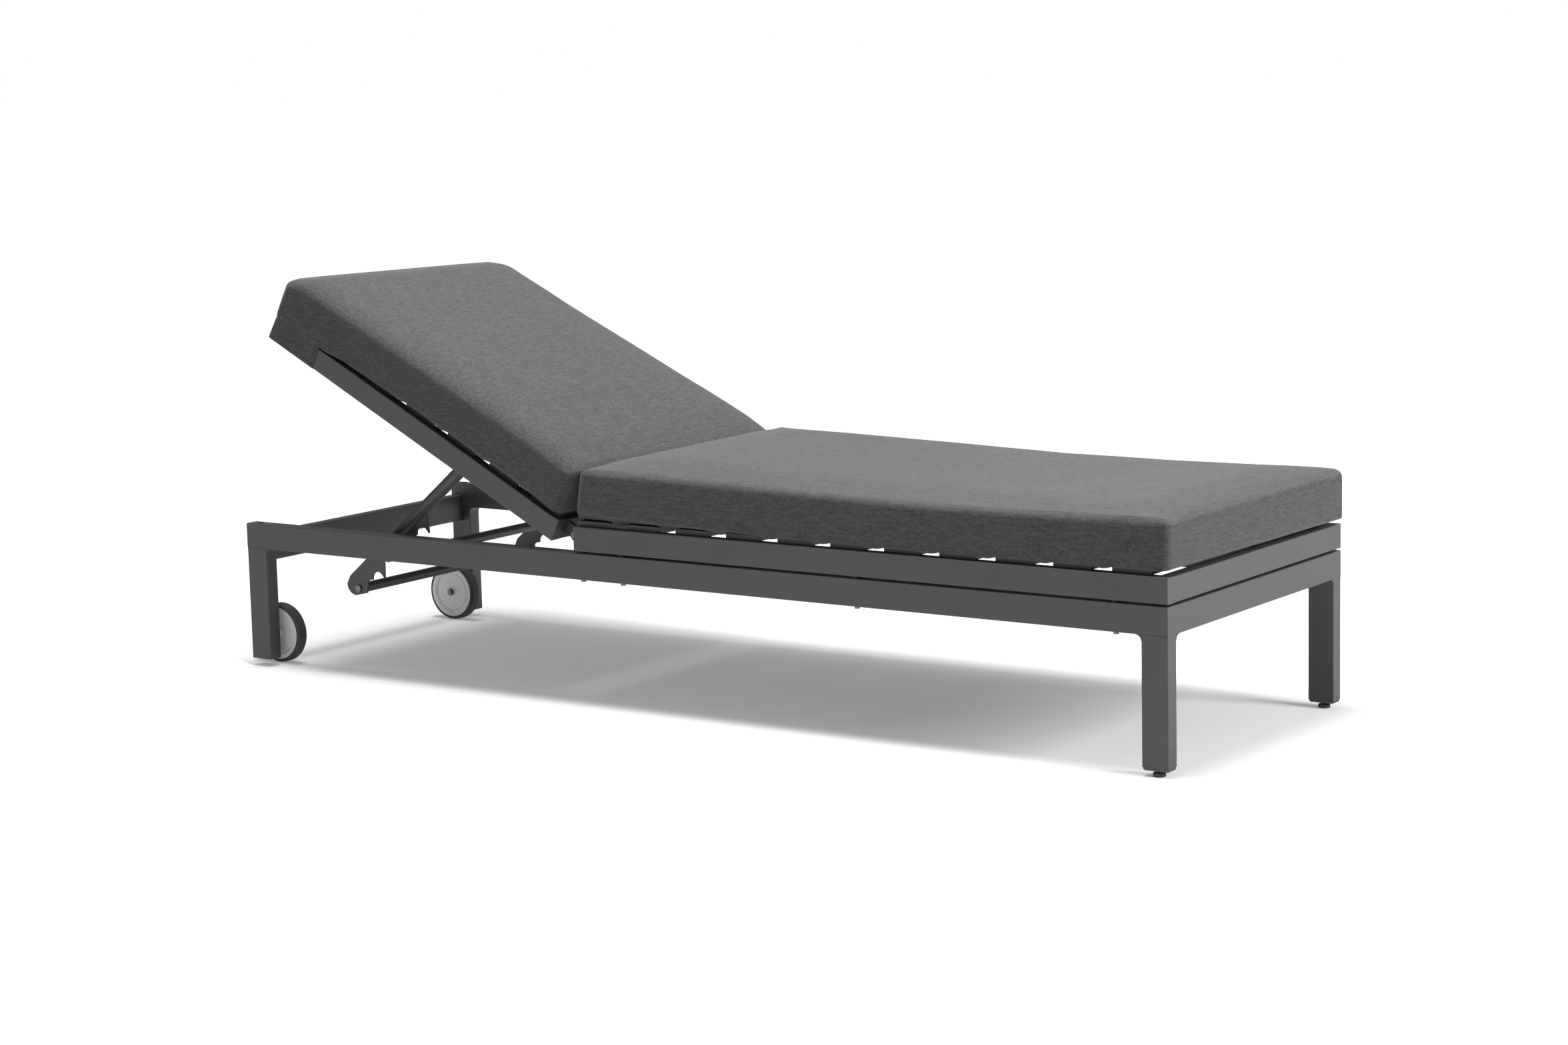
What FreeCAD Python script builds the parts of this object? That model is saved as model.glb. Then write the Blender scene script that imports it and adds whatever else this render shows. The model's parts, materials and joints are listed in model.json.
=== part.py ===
import FreeCAD, Part
import math
import os
import Sketcher
from types import SimpleNamespace
from FreeCAD import Rotation, Vector

# Slatted chaise with a hinged backrest, two wheels at the head end and loose cushions.
# X runs from the head end to the foot end, Y to the sleeper's left and Z up, in millimetres.
# The origin lies on the floor under the middle of the whole length, with the wheels that stand out
# beyond the head legs.

driving_sizes = {
    # Base frame
    "frame_length": 2080,
    "frame_width": 660,
    "rail_top": 290,
    "rail_height": 50,
    "rail_width": 30,
    "leg_depth": 50,
    "tube_wall": 2,
    "tube_edge": 1.5,
    "weld_radius": 11,
    "head_rail_height": 55,
    "head_rail_width": 25,
    "head_rail_drop": 24,
    "head_rail_setback": 5,
    # Caps and glides in the leg ends
    "foot_leg_clear": 10,
    "foot_cap_flange": 6,
    "foot_cap_edge": 4.5,
    "head_leg_clear": 15,
    "head_cap_flange": 3,
    "head_cap_edge": 1.5,
    "cap_corner_extra": 0.2,
    "cap_plug_depth": 20,
    "cap_plug_gap": 0.1,
    "glide_radius": 11,
    "glide_height": 6,
    "glide_stem_radius": 5,
    # Catch bar, and its gap to each side of a rack plate
    "catch_bar_radius": 10,
    "catch_bar_from_head": 346.6,
    "catch_bar_above_floor": 241.2,
    "catch_bar_side_gap": 0.75,
    # Seat frame
    "seat_start_past_hinge": 19,
    "seat_spacer_height": 4,
    "seat_rail_height": 45,
    "seat_rail_width": 25,
    "seat_cap_flange": 3,
    "seat_cap_edge": 1.2,
    "seat_spacer_radius": 9,
    "seat_bolt_radius": 3,
    "seat_bolt_head_radius": 5,
    "seat_bolt_head_height": 5.5,
    "seat_bolt_grip": 8,
    "seat_hinge_bolt_inset": 10,
    "seat_head_bolt_inset": 103,
    "seat_foot_bolt_inset": 105,
    # Slats of the seat and the backrest
    "slat_width": 75,
    "slat_thickness": 10,
    "slat_side_inset": 15,
    "slat_foot_gap": 12,
    "back_slat_end_inset": 10,
    # Backrest frame
    "backrest_angle": 27.2,
    "hinge_from_head": 816,
    "hinge_above_floor": 318,
    "back_frame_length": 778,
    "back_frame_start": 28,
    "back_side_inset": 2,
    "back_rail_height": 43,
    "back_rail_width": 25,
    "back_rail_below_hinge": 24.5,
    # Backrest hinge
    "hinge_ear_inset": 31,
    "hinge_ear_thickness": 5,
    "hinge_lug_thickness": 8,
    "hinge_ear_radius": 12,
    "hinge_bolt_radius": 4,
    "hinge_bolt_head_radius": 6.5,
    "hinge_bolt_head_height": 5,
    "hinge_side_gap": 0.5,
    "running_gap": 0.05,
    # Prop and its pivot
    "prop_angle": 66.6,
    "prop_inset": 68,
    "prop_pivot_from_hinge": 303.6,
    "prop_pivot_below_hinge": 18.5,
    "prop_tube_radius": 12.5,
    "prop_tube_length": 258,
    "prop_tube_overhang": 15,
    "prop_ear_gap": 1.5,
    "prop_ear_thickness": 4,
    "prop_ear_radius": 13,
    "prop_flange_above_hinge": 4,
    "prop_nut_gap": 0.5,
    # Rack plates, measured along the prop from the pivot and across it from the tube's middle
    "rack_thickness": 4,
    "rack_start": 160,
    "rack_first_root": 163,
    "rack_first_notch": 198.5,
    "rack_pitch": 77.7,
    "rack_notch_depth": 35.5,
    "rack_notch_radius": 14,
    "rack_root_before_notch": 38,
    "rack_root_depth": 18,
    "rack_tip_depth": 44,
    "rack_tip_width": 2,
    "rack_foot_depth": 29,
    "rack_foot_past_notch": 17,
    "rack_foot_end_depth": 28,
    "rack_heel_start": 372,
    "rack_heel_start_depth": 25,
    "rack_heel_turn": 381,
    "rack_heel_turn_depth": 23.3,
    "rack_heel_end": 397,
    "rack_heel_depth": 40,
    "rack_toe_start": 423,
    "rack_toe_start_depth": 27,
    "rack_toe_middle": 431.5,
    "rack_toe_middle_depth": 12.8,
    "rack_toe_end": 427,
    "rack_toe_rise": 5.3,
    "rack_toe_back": 410,
    # Cross bar between the rack plates
    "cross_bar_radius": 10,
    "cross_bar_along": 408,
    "cross_bar_across": 21,
    "cross_bolt_radius": 4,
    "cross_bolt_head_radius": 7,
    "cross_bolt_head_height": 4,
    "cross_bolt_grip": 12,
    # Wheels
    "wheel_radius": 60,
    "wheel_from_head": 25,
    "wheel_spacer_length": 16,
    "wheel_spacer_radius": 9,
    "tyre_width": 28,
    "tyre_inner_radius": 53,
    "tyre_shoulder": 6,
    "tyre_side_inset": 1,
    "hub_boss_radius": 10,
    "hub_web_inset": 4,
    "hub_groove_radius": 40,
    "hub_groove_width": 3,
    "hub_groove_depth": 1.5,
    "hub_rim_inset": 1.5,
    "hub_rim_width": 8,
    "hub_end_gap": 0.3,
    "axle_radius": 4,
    "axle_head_radius": 5,
    "axle_head_height": 3.5,
    "axle_grip": 12,
    "axle_washer_radius": 8.5,
    "axle_washer_thickness": 1.5,
    # Buffers under the flat backrest
    "bumper_radius": 6,
    "bumper_gap": 0.3,
    # Seat cushion
    "cushion_gap": 0.3,
    "foam_side_inset": 28,
    "foam_end_inset": 24,
    "foam_head_inset": 44,
    "foam_bottom_inset": 4,
    "seat_foam_height": 68,
    "back_foam_height": 60,
    "seat_cushion_head_gap": 7,
    "seat_cushion_head_height": 92,
    "seat_cushion_foot_height": 79,
    "seat_cushion_crown": 12,
    "cushion_low_corner": 14,
    "cushion_top_corner": 18,
    "cushion_side_pull": 10,
    "cushion_side_round": 16,
    "cushion_side_full": 60,
    # Backrest cushion, measured along the flat backrest from the hinge
    "back_cushion_head_inset": 3,
    "back_cushion_start": 8,
    "back_cushion_lean_start": 71,
    "back_cushion_lean_height": 78,
    "back_cushion_turn_start": 96,
    "back_cushion_turn_height": 93,
    "back_cushion_middle": 440,
    "back_cushion_middle_height": 90,
    "back_cushion_head_turn": 30,
    "back_cushion_head_height": 70,
    "back_cushion_head_side": 42,
    "back_cushion_crown": 10,
    # Fabric sleeve over the head end of the backrest
    "hood_length": 128,
    "hood_thickness": 1.5,
    # One overrun for all cutting shapes
    "overrun": 5,
}

seat_slat_count = 11
back_slat_count = 7
notch_count = 3

# How far a quarter arc bows in from its corner, as a share of its radius
quarter_arc_share = 1 - math.sqrt(0.5)

doc = FreeCAD.newDocument("Lounger")
sheet = doc.addObject("Spreadsheet::Sheet", "Sizes")
for row, (alias, number) in enumerate(driving_sizes.items(), start=1):
    sheet.set("A%d" % row, alias)
    sheet.set("B%d" % row, str(number))
    sheet.setAlias("B%d" % row, alias)
doc.recompute()


class Size:
    """A length of the sheet, or a sum of such lengths: its formula in the document and its value."""

    def __init__(self, formula, value):
        self.formula = formula
        self.value = value

    def __add__(self, other):
        other = as_size(other)
        return Size("(%s + %s)" % (self.formula, other.formula), self.value + other.value)

    def __sub__(self, other):
        other = as_size(other)
        return Size("(%s - %s)" % (self.formula, other.formula), self.value - other.value)

    def __mul__(self, factor):
        return Size("(%s * %.12g)" % (self.formula, factor), self.value * factor)

    def __truediv__(self, factor):
        return Size("(%s / %.12g)" % (self.formula, factor), self.value / factor)

    def __neg__(self):
        return Size("(-%s)" % self.formula, -self.value)


def as_size(number):
    return number if isinstance(number, Size) else Size("%.12g" % number, number)


s = SimpleNamespace(**{alias: Size("Sizes." + alias, number) for alias, number in driving_sizes.items()})
zero = Size("0", 0)

# How a piece's own Z axis is turned to run along a world axis
turn_along = {
    "X": Rotation(Vector(1, 1, 1), 120),
    "Y": Rotation(Vector(1, 1, 1), 240),
    "Z": Rotation(),
}
# A piece drawn in its own XY plane is stood up into the world's XZ plane, its thickness towards -Y
stand_up = Rotation(Vector(1, 0, 0), 90)

nodes = []


def bind(item, name, size):
    item.setExpression(name, size.formula)


def put(item, rotation, base):
    item.Placement = FreeCAD.Placement(Vector(), rotation)
    for axis, size in zip("xyz", base):
        bind(item, "Placement.Base." + axis, size)


def node(item, label):
    item.Label = label
    nodes.append(item)
    return item


def box(label, corner, extent):
    item = doc.addObject("Part::Box", label)
    for name, size in zip(("Length", "Width", "Height"), extent):
        bind(item, name, size)
    put(item, Rotation(), corner)
    return item


def rod(label, along, start, radius, length):
    item = doc.addObject("Part::Cylinder", label)
    bind(item, "Radius", radius)
    bind(item, "Height", length)
    put(item, turn_along[along], start)
    return item


def group(label, items):
    item = doc.addObject("Part::Compound", label)
    item.Links = items
    return item


def fuse(label, items):
    item = doc.addObject("Part::MultiFuse", label)
    item.Shapes = items
    return item


def cut(label, base, tools):
    item = doc.addObject("Part::Cut", label)
    item.Base = base
    item.Tool = tools[0] if len(tools) == 1 else fuse(label + "_tools", tools)
    return item


def round_tube(label, start, radius, length):
    """A round tube along Y with closed ends."""
    outside = rod(label + "_outside", "Y", start, radius, length)
    inside = rod(label + "_inside", "Y", (start[0], start[1] + s.tube_wall, start[2]), radius - s.tube_wall,
                 length - s.tube_wall * 2)
    return cut(label, outside, [inside])


def mirrored(label, source):
    item = doc.addObject("Part::Mirroring", label)
    item.Source = source
    item.Normal = Vector(0, 1, 0)
    return item


def both_sides(label, source):
    return group(label, [source, mirrored(label + "_left", source)])


def vector(corner):
    return Vector(corner[0].value, corner[1].value, 0)


def end_at(sketch, edge, point):
    starts_here = sketch.getPoint(edge, 1).distanceToPoint(point) < sketch.getPoint(edge, 2).distanceToPoint(point)
    return 1 if starts_here else 2


def pin_point(sketch, edge, position, corner, name):
    for kind, size in zip(("DistanceX", "DistanceY"), corner):
        index = sketch.addConstraint(Sketcher.Constraint(kind, -1, 1, edge, position, size.value))
        sketch.renameConstraint(index, name + kind)
        bind(sketch, "Constraints." + name + kind, size)


def draw_outline(sketch, outline):
    """Draws a closed outline of (x, y, via): via is a point that an arc to the next corner passes."""
    first = sketch.GeometryCount
    count = len(outline)
    for index, (x, y, via) in enumerate(outline):
        here, there = vector((x, y)), vector(outline[(index + 1) % count])
        if via is None:
            sketch.addGeometry(Part.LineSegment(here, there), False)
            continue
        middle = vector(via)
        turns_left = (middle - here).cross(there - middle).z > 0
        ends = (here, there) if turns_left else (there, here)
        sketch.addGeometry(Part.ArcOfCircle(ends[0], middle, ends[1]), False)
    for index, (x, y, via) in enumerate(outline):
        edge, before = first + index, first + (index - 1) % count
        here = vector((x, y))
        sketch.addConstraint(Sketcher.Constraint(
            "Coincident", before, end_at(sketch, before, here), edge, end_at(sketch, edge, here)))
        pin_point(sketch, edge, end_at(sketch, edge, here), (x, y), "corner%d_%d" % (first, index))
        if via is not None:
            dot = sketch.addGeometry(Part.Point(vector(via)), True)
            pin_point(sketch, dot, 1, via, "via%d_%d" % (first, index))
            sketch.addConstraint(Sketcher.Constraint("PointOnObject", dot, 1, edge))


def draw_hole(sketch, centre, radius):
    hole = sketch.addGeometry(Part.Circle(vector(centre), Vector(0, 0, 1), radius.value), False)
    pin_point(sketch, hole, 3, centre, "hole%d" % hole)
    index = sketch.addConstraint(Sketcher.Constraint("Radius", hole, radius.value))
    sketch.renameConstraint(index, "holeRadius%d" % hole)
    bind(sketch, "Constraints.holeRadius%d" % hole, radius)


def rounded_rectangle(width, height, radius):
    """An outline from the sketch's origin, anticlockwise, with a quarter arc at each corner."""
    bow = radius * quarter_arc_share
    return [
        (radius, zero, None),
        (width - radius, zero, (width - bow, bow)),
        (width, radius, None),
        (width, height - radius, (width - bow, height - bow)),
        (width - radius, height, None),
        (radius, height, (bow, height - bow)),
        (zero, height - radius, None),
        (zero, radius, (bow, bow)),
    ]


def body_with_sketch(label, rotation, base):
    body = doc.addObject("PartDesign::Body", label)
    plane = [item for item in body.Origin.OriginFeatures if item.Role == "XY_Plane"][0]
    sketch = body.newObject("Sketcher::SketchObject", label + "_sketch")
    sketch.AttachmentSupport = (plane, [""])
    sketch.MapMode = "FlatFace"
    put(body, rotation, base)
    return body, sketch


def pad(body, sketch, length):
    item = body.newObject("PartDesign::Pad", body.Name + "_pad")
    item.Profile = sketch
    bind(item, "Length", length)
    sketch.Visibility = False
    return item


def body_box(body, kind, corner, extent):
    item = body.newObject("PartDesign::" + kind, body.Name + "_" + kind)
    for name, size in zip(("Length", "Width", "Height"), extent):
        bind(item, name, size)
    put(item, Rotation(), corner)
    return item


def tube(label, along, corner, length, across, edge, first_end="closed", last_end="closed"):
    """A rectangular tube. Across is (Y, Z) for a tube along X, (Z, X) along Y and (X, Y) along Z."""
    body, sketch = body_with_sketch(label, turn_along[along], corner)
    draw_outline(sketch, rounded_rectangle(across[0], across[1], edge))
    pad(body, sketch, length)
    start = s.tube_wall if first_end == "closed" else -s.overrun
    stop = length - s.tube_wall if last_end == "closed" else length + s.overrun
    body_box(body, "SubtractiveBox", (s.tube_wall, s.tube_wall, start),
             (across[0] - s.tube_wall * 2, across[1] - s.tube_wall * 2, stop - start))
    return body


def end_cap(label, along, corner, across, flange, edge):
    """A plastic cap: a flange with a rounded outer rim, and a plug inside the tube's wall."""
    body, sketch = body_with_sketch(label, turn_along[along], corner)
    draw_outline(sketch, rounded_rectangle(across[0], across[1], edge + s.cap_corner_extra))
    flange_pad = pad(body, sketch, flange)
    doc.recompute()
    rim = body.newObject("PartDesign::Fillet", label + "_rim")
    outer_edges = [
        "Edge%d" % (index + 1) for index, side in enumerate(flange_pad.Shape.Edges)
        if side.BoundBox.ZMax < flange.value / 2]
    rim.Base = (flange_pad, outer_edges)
    bind(rim, "Radius", edge)
    inset = s.tube_wall + s.cap_plug_gap
    body_box(body, "AdditiveBox", (inset, inset, flange),
             (across[0] - inset * 2, across[1] - inset * 2, s.cap_plug_depth))
    return body


def side_plate(label, outline, holes, left_face, thickness):
    """A flat plate parallel to the XZ plane. Left_face is the Y of its face towards +Y."""
    body, sketch = body_with_sketch(label, stand_up, (zero, left_face, zero))
    draw_outline(sketch, outline)
    for centre, radius in holes:
        draw_hole(sketch, centre, radius)
    pad(body, sketch, thickness)
    return body


def turned(label, outline, centre):
    """A ring or disc turned about the Y axis from an outline of (radius, y) corners."""
    body, sketch = body_with_sketch(label, Rotation(), centre)
    draw_outline(sketch, outline)
    item = body.newObject("PartDesign::Revolution", label + "_turn")
    item.Profile = sketch
    item.ReferenceAxis = (sketch, ["V_Axis"])
    item.Angle = 360
    return body


def on_backrest(label, item):
    """Places a piece that is built in the flat backrest's frame, with its origin on the hinge axis."""
    placed = group(label, [item])
    put(placed, Rotation(Vector(0, 1, 0), s.backrest_angle.value), (hinge_x, zero, s.hinge_above_floor))
    bind(placed, "Placement.Rotation.Angle", s.backrest_angle)
    return placed


def on_prop(label, item):
    """Places a piece of the prop: the prop runs from its pivot along -X, its notches face -Z."""
    folded = group(label + "_folded", [item])
    put(folded, Rotation(Vector(0, -1, 0), s.prop_angle.value),
        (-s.prop_pivot_from_hinge, zero, -s.prop_pivot_below_hinge))
    bind(folded, "Placement.Rotation.Angle", s.prop_angle)
    return on_backrest(label, folded)


# Planes that several pieces share
head_x = (s.wheel_radius - s.wheel_from_head - s.frame_length) / 2
foot_x = head_x + s.frame_length
right_y = -s.frame_width / 2
inner_y = right_y + s.rail_width
rail_bottom = s.rail_top - s.rail_height
inner_width = s.frame_width - s.rail_width * 2
seat_bottom = s.rail_top + s.seat_spacer_height
seat_top = seat_bottom + s.seat_rail_height
seat_inner_y = right_y + s.seat_rail_width
seat_inner_width = s.frame_width - s.seat_rail_width * 2
hinge_x = head_x + s.hinge_from_head
seat_start = hinge_x + s.seat_start_past_hinge
seat_rail_start = seat_start + s.seat_cap_flange
foot_leg_x = foot_x - s.leg_depth
leg_middle_y = right_y + s.rail_width / 2


# Base frame
seat_bolt_places = [
    seat_start + s.seat_hinge_bolt_inset,
    seat_start + s.seat_head_bolt_inset,
    (seat_start + s.seat_head_bolt_inset + foot_x - s.seat_foot_bolt_inset) / 2,
    foot_x - s.seat_foot_bolt_inset,
]


def seat_bolt_holes(label, bottom, depth):
    return [rod("%s_hole_%d" % (label, number), "Z", (x, leg_middle_y, bottom), s.seat_bolt_radius, depth)
            for number, x in enumerate(seat_bolt_places, start=1)]


base_side_blank = tube("base_side_blank", "X", (head_x, right_y, rail_bottom), s.frame_length,
                       (s.rail_width, s.rail_height), s.tube_edge)
base_side_right = node(
    cut("base_side_rail_right", base_side_blank,
        seat_bolt_holes("base_side", rail_bottom - s.overrun, s.rail_height + s.overrun * 2)),
    "base_side_rail_right")
node(mirrored("base_side_rail_left", base_side_right), "base_side_rail_left")
node(tube("base_foot_rail", "Y", (foot_x - s.rail_width, inner_y, rail_bottom), inner_width,
          (s.rail_height, s.rail_width), s.tube_edge, "open", "open"), "base_foot_rail")
node(tube("base_head_rail", "Y",
          (head_x + s.head_rail_setback, inner_y, s.rail_top - s.head_rail_drop - s.head_rail_height),
          inner_width, (s.head_rail_height, s.head_rail_width), s.tube_edge, "open", "open"),
     "base_head_rail")

leg_across = (s.leg_depth, s.rail_width)
foot_leg_bottom = s.foot_leg_clear + s.foot_cap_flange
foot_leg_right = node(
    tube("foot_leg_right", "Z", (foot_leg_x, right_y, foot_leg_bottom), rail_bottom - foot_leg_bottom,
         leg_across, s.tube_edge, "open", "closed"), "foot_leg_right")
node(mirrored("foot_leg_left", foot_leg_right), "foot_leg_left")

axle_x = head_x + s.wheel_from_head
axle_z = s.wheel_radius
head_leg_bottom = s.head_leg_clear + s.head_cap_flange
head_leg_blank = tube("head_leg_blank", "Z", (head_x, right_y, head_leg_bottom),
                      rail_bottom - head_leg_bottom, leg_across, s.tube_edge, "open", "closed")
axle_hole = rod("head_leg_axle_hole", "Y", (axle_x, inner_y - s.tube_wall - s.overrun, axle_z),
                s.axle_radius, s.tube_wall + s.overrun * 2)
head_leg_right = node(cut("head_leg_right", head_leg_blank, [axle_hole]), "head_leg_right")
node(mirrored("head_leg_left", head_leg_right), "head_leg_left")


def weld_fillet(label, corner, extent, along, axis_start):
    """A ground weld: a square bead in an inner corner, hollowed by a round of the same radius."""
    bead = box(label + "_bead", corner, extent)
    length = s.rail_width + s.overrun * 2
    return cut(label, bead, [rod(label + "_round", along, axis_start, s.weld_radius, length)])


weld_z = rail_bottom - s.weld_radius
side_bead = (s.weld_radius, s.rail_width, s.weld_radius)
end_bead = (s.rail_width, s.weld_radius, s.weld_radius)
foot_side_weld = weld_fillet("foot_side_weld", (foot_leg_x - s.weld_radius, right_y, weld_z), side_bead, "Y",
                             (foot_leg_x - s.weld_radius, right_y - s.overrun, weld_z))
head_side_weld = weld_fillet("head_side_weld", (head_x + s.leg_depth, right_y, weld_z), side_bead, "Y",
                             (head_x + s.leg_depth + s.weld_radius, right_y - s.overrun, weld_z))
foot_end_weld = weld_fillet("foot_end_weld", (foot_x - s.rail_width, inner_y, weld_z), end_bead, "X",
                            (foot_x - s.rail_width - s.overrun, inner_y + s.weld_radius, weld_z))
welds = group("welds_right", [foot_side_weld, head_side_weld, foot_end_weld])
node(both_sides("corner_welds", welds), "corner_welds")

foot_cap = end_cap("foot_cap", "Z", (foot_leg_x, right_y, s.foot_leg_clear), leg_across,
                   s.foot_cap_flange, s.foot_cap_edge)
head_cap = end_cap("head_cap", "Z", (head_x, right_y, s.head_leg_clear), leg_across,
                   s.head_cap_flange, s.head_cap_edge)
node(both_sides("leg_end_caps", group("caps_right", [foot_cap, head_cap])), "leg_end_caps")

glide_x = foot_x - s.leg_depth / 2
glide_pad = rod("glide_pad", "Z", (glide_x, leg_middle_y, zero), s.glide_radius, s.glide_height)
glide_stem = rod("glide_stem", "Z", (glide_x, leg_middle_y, s.glide_height), s.glide_stem_radius,
                 s.foot_leg_clear - s.glide_height)
node(both_sides("foot_glides", fuse("glide_right", [glide_pad, glide_stem])), "foot_glides")

# Catch bar: its length is interrupted where the rack plates pass
prop_y = right_y + s.prop_inset
rack_right_y = prop_y - s.rack_thickness / 2
rack_left_y = prop_y + s.rack_thickness / 2
catch_x = head_x + s.catch_bar_from_head
catch_z = s.catch_bar_above_floor
catch_stub = round_tube("catch_stub", (catch_x, inner_y, catch_z), s.catch_bar_radius,
                        rack_right_y - s.catch_bar_side_gap - inner_y)
catch_middle_y = rack_left_y + s.catch_bar_side_gap
catch_middle = round_tube("catch_middle", (catch_x, catch_middle_y, catch_z), s.catch_bar_radius,
                          -catch_middle_y * 2)
node(group("catch_bar", [both_sides("catch_stubs", catch_stub), catch_middle]), "catch_bar")

# Seat frame
seat_side_blank = tube("seat_side_blank", "X", (seat_rail_start, right_y, seat_bottom),
                       foot_x - seat_rail_start, (s.seat_rail_width, s.seat_rail_height), s.tube_edge, "open")
seat_side_right = node(
    cut("seat_side_rail_right", seat_side_blank,
        seat_bolt_holes("seat_side", seat_bottom - s.overrun, s.overrun + s.tube_wall * 2)),
    "seat_side_rail_right")
node(mirrored("seat_side_rail_left", seat_side_right), "seat_side_rail_left")
seat_cross_across = (s.seat_rail_height, s.seat_rail_width)
node(tube("seat_head_rail", "Y", (seat_rail_start, seat_inner_y, seat_bottom), seat_inner_width,
          seat_cross_across, s.tube_edge, "open", "open"), "seat_head_rail")
node(tube("seat_foot_rail", "Y", (foot_x - s.seat_rail_width, seat_inner_y, seat_bottom), seat_inner_width,
          seat_cross_across, s.tube_edge, "open", "open"), "seat_foot_rail")
seat_cap = end_cap("seat_cap", "X", (seat_start, right_y, seat_bottom),
                   (s.seat_rail_width, s.seat_rail_height), s.seat_cap_flange, s.seat_cap_edge)
seat_cap_drilled = cut("seat_cap_drilled", seat_cap,
                       seat_bolt_holes("seat_cap", seat_bottom - s.overrun, s.overrun + s.seat_bolt_grip))
node(both_sides("seat_rail_end_caps", seat_cap_drilled), "seat_rail_end_caps")

spacers = []
bolts = []
for number, x in enumerate(seat_bolt_places, start=1):
    disc = rod("spacer_disc_%d" % number, "Z", (x, leg_middle_y, s.rail_top), s.seat_spacer_radius,
               s.seat_spacer_height)
    hole = rod("spacer_hole_%d" % number, "Z", (x, leg_middle_y, s.rail_top - s.overrun), s.seat_bolt_radius,
               s.seat_spacer_height + s.overrun * 2)
    spacers.append(cut("spacer_%d" % number, disc, [hole]))
    head = rod("bolt_head_%d" % number, "Z", (x, leg_middle_y, rail_bottom - s.seat_bolt_head_height),
               s.seat_bolt_head_radius, s.seat_bolt_head_height)
    shank = rod("bolt_shank_%d" % number, "Z", (x, leg_middle_y, rail_bottom), s.seat_bolt_radius,
                seat_bottom - rail_bottom + s.seat_bolt_grip)
    bolts.append(fuse("bolt_%d" % number, [head, shank]))
node(both_sides("seat_frame_spacers", group("spacers_right", spacers)), "seat_frame_spacers")
node(both_sides("seat_frame_bolts", group("bolts_right", bolts)), "seat_frame_bolts")

slat_across = (s.slat_thickness, s.slat_width)
seat_slat_span = foot_x - s.seat_rail_width - s.slat_foot_gap - s.slat_width - seat_start
for number in range(seat_slat_count):
    label = "seat_slat_%02d" % (number + 1)
    slat_x = seat_start + seat_slat_span * (number / (seat_slat_count - 1))
    node(tube(label, "Y", (slat_x, right_y + s.slat_side_inset, seat_top),
              s.frame_width - s.slat_side_inset * 2, slat_across, s.tube_edge), label)

# Backrest frame, in the flat backrest's frame
back_low_x = -s.back_frame_start - s.back_frame_length
back_high_x = -s.back_frame_start
back_right_y = right_y + s.back_side_inset
back_inner_y = back_right_y + s.back_rail_width
back_bottom = -s.back_rail_below_hinge
back_top = back_bottom + s.back_rail_height
back_side = tube("back_side_blank", "X", (back_low_x, back_right_y, back_bottom), s.back_frame_length,
                 (s.back_rail_width, s.back_rail_height), s.tube_edge)
back_side_right = node(on_backrest("back_side_rail_right", back_side), "back_side_rail_right")
node(mirrored("back_side_rail_left", back_side_right), "back_side_rail_left")
back_cross_across = (s.back_rail_height, s.back_rail_width)
for label, x in (("back_top_rail", back_low_x), ("back_lower_rail", back_high_x - s.back_rail_width)):
    cross = tube(label + "_blank", "Y", (x, back_inner_y, back_bottom), -back_inner_y * 2,
                 back_cross_across, s.tube_edge, "open", "open")
    node(on_backrest(label, cross), label)
back_slats = []
back_slat_span = s.back_frame_length - s.back_slat_end_inset * 2 - s.slat_width
for number in range(back_slat_count):
    slat_x = back_low_x + s.back_slat_end_inset + back_slat_span * (number / (back_slat_count - 1))
    slat_y = back_right_y + s.slat_side_inset
    back_slats.append(tube("back_slat_%d" % (number + 1), "Y", (slat_x, slat_y, back_top), -slat_y * 2,
                           slat_across, s.tube_edge))
node(on_backrest("back_slats", group("back_slats_flat", back_slats)), "back_slats")


# Backrest hinge: a lug between two ears on each side
def hinge_outline(root_x):
    radius = s.hinge_ear_radius
    tip = radius if root_x.value < 0 else -radius
    return [
        (root_x, -radius, None),
        (zero, -radius, (tip, zero)),
        (zero, radius, None),
        (root_x, radius, None),
    ]


ear_y = right_y + s.hinge_ear_inset
lug_y = ear_y + s.hinge_ear_thickness + s.hinge_side_gap
far_ear_y = lug_y + s.hinge_lug_thickness + s.hinge_side_gap
hinge_end_y = far_ear_y + s.hinge_ear_thickness
axis_point = (zero, zero)
ears = []
for label, y in (("hinge_ear_outer", ear_y), ("hinge_ear_inner", far_ear_y)):
    ears.append(side_plate(label, hinge_outline(seat_rail_start - hinge_x),
                           [(axis_point, s.hinge_bolt_radius)], y + s.hinge_ear_thickness,
                           s.hinge_ear_thickness))
ears_placed = group("hinge_ears", ears)
put(ears_placed, Rotation(), (hinge_x, zero, s.hinge_above_floor))
node(both_sides("hinge_brackets", ears_placed), "hinge_brackets")
lug = side_plate("hinge_lug", hinge_outline(-s.back_frame_start),
                 [(axis_point, s.hinge_bolt_radius + s.running_gap)], lug_y + s.hinge_lug_thickness,
                 s.hinge_lug_thickness)
node(on_backrest("back_hinge_lugs", both_sides("hinge_lugs_flat", lug)), "back_hinge_lugs")


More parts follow.
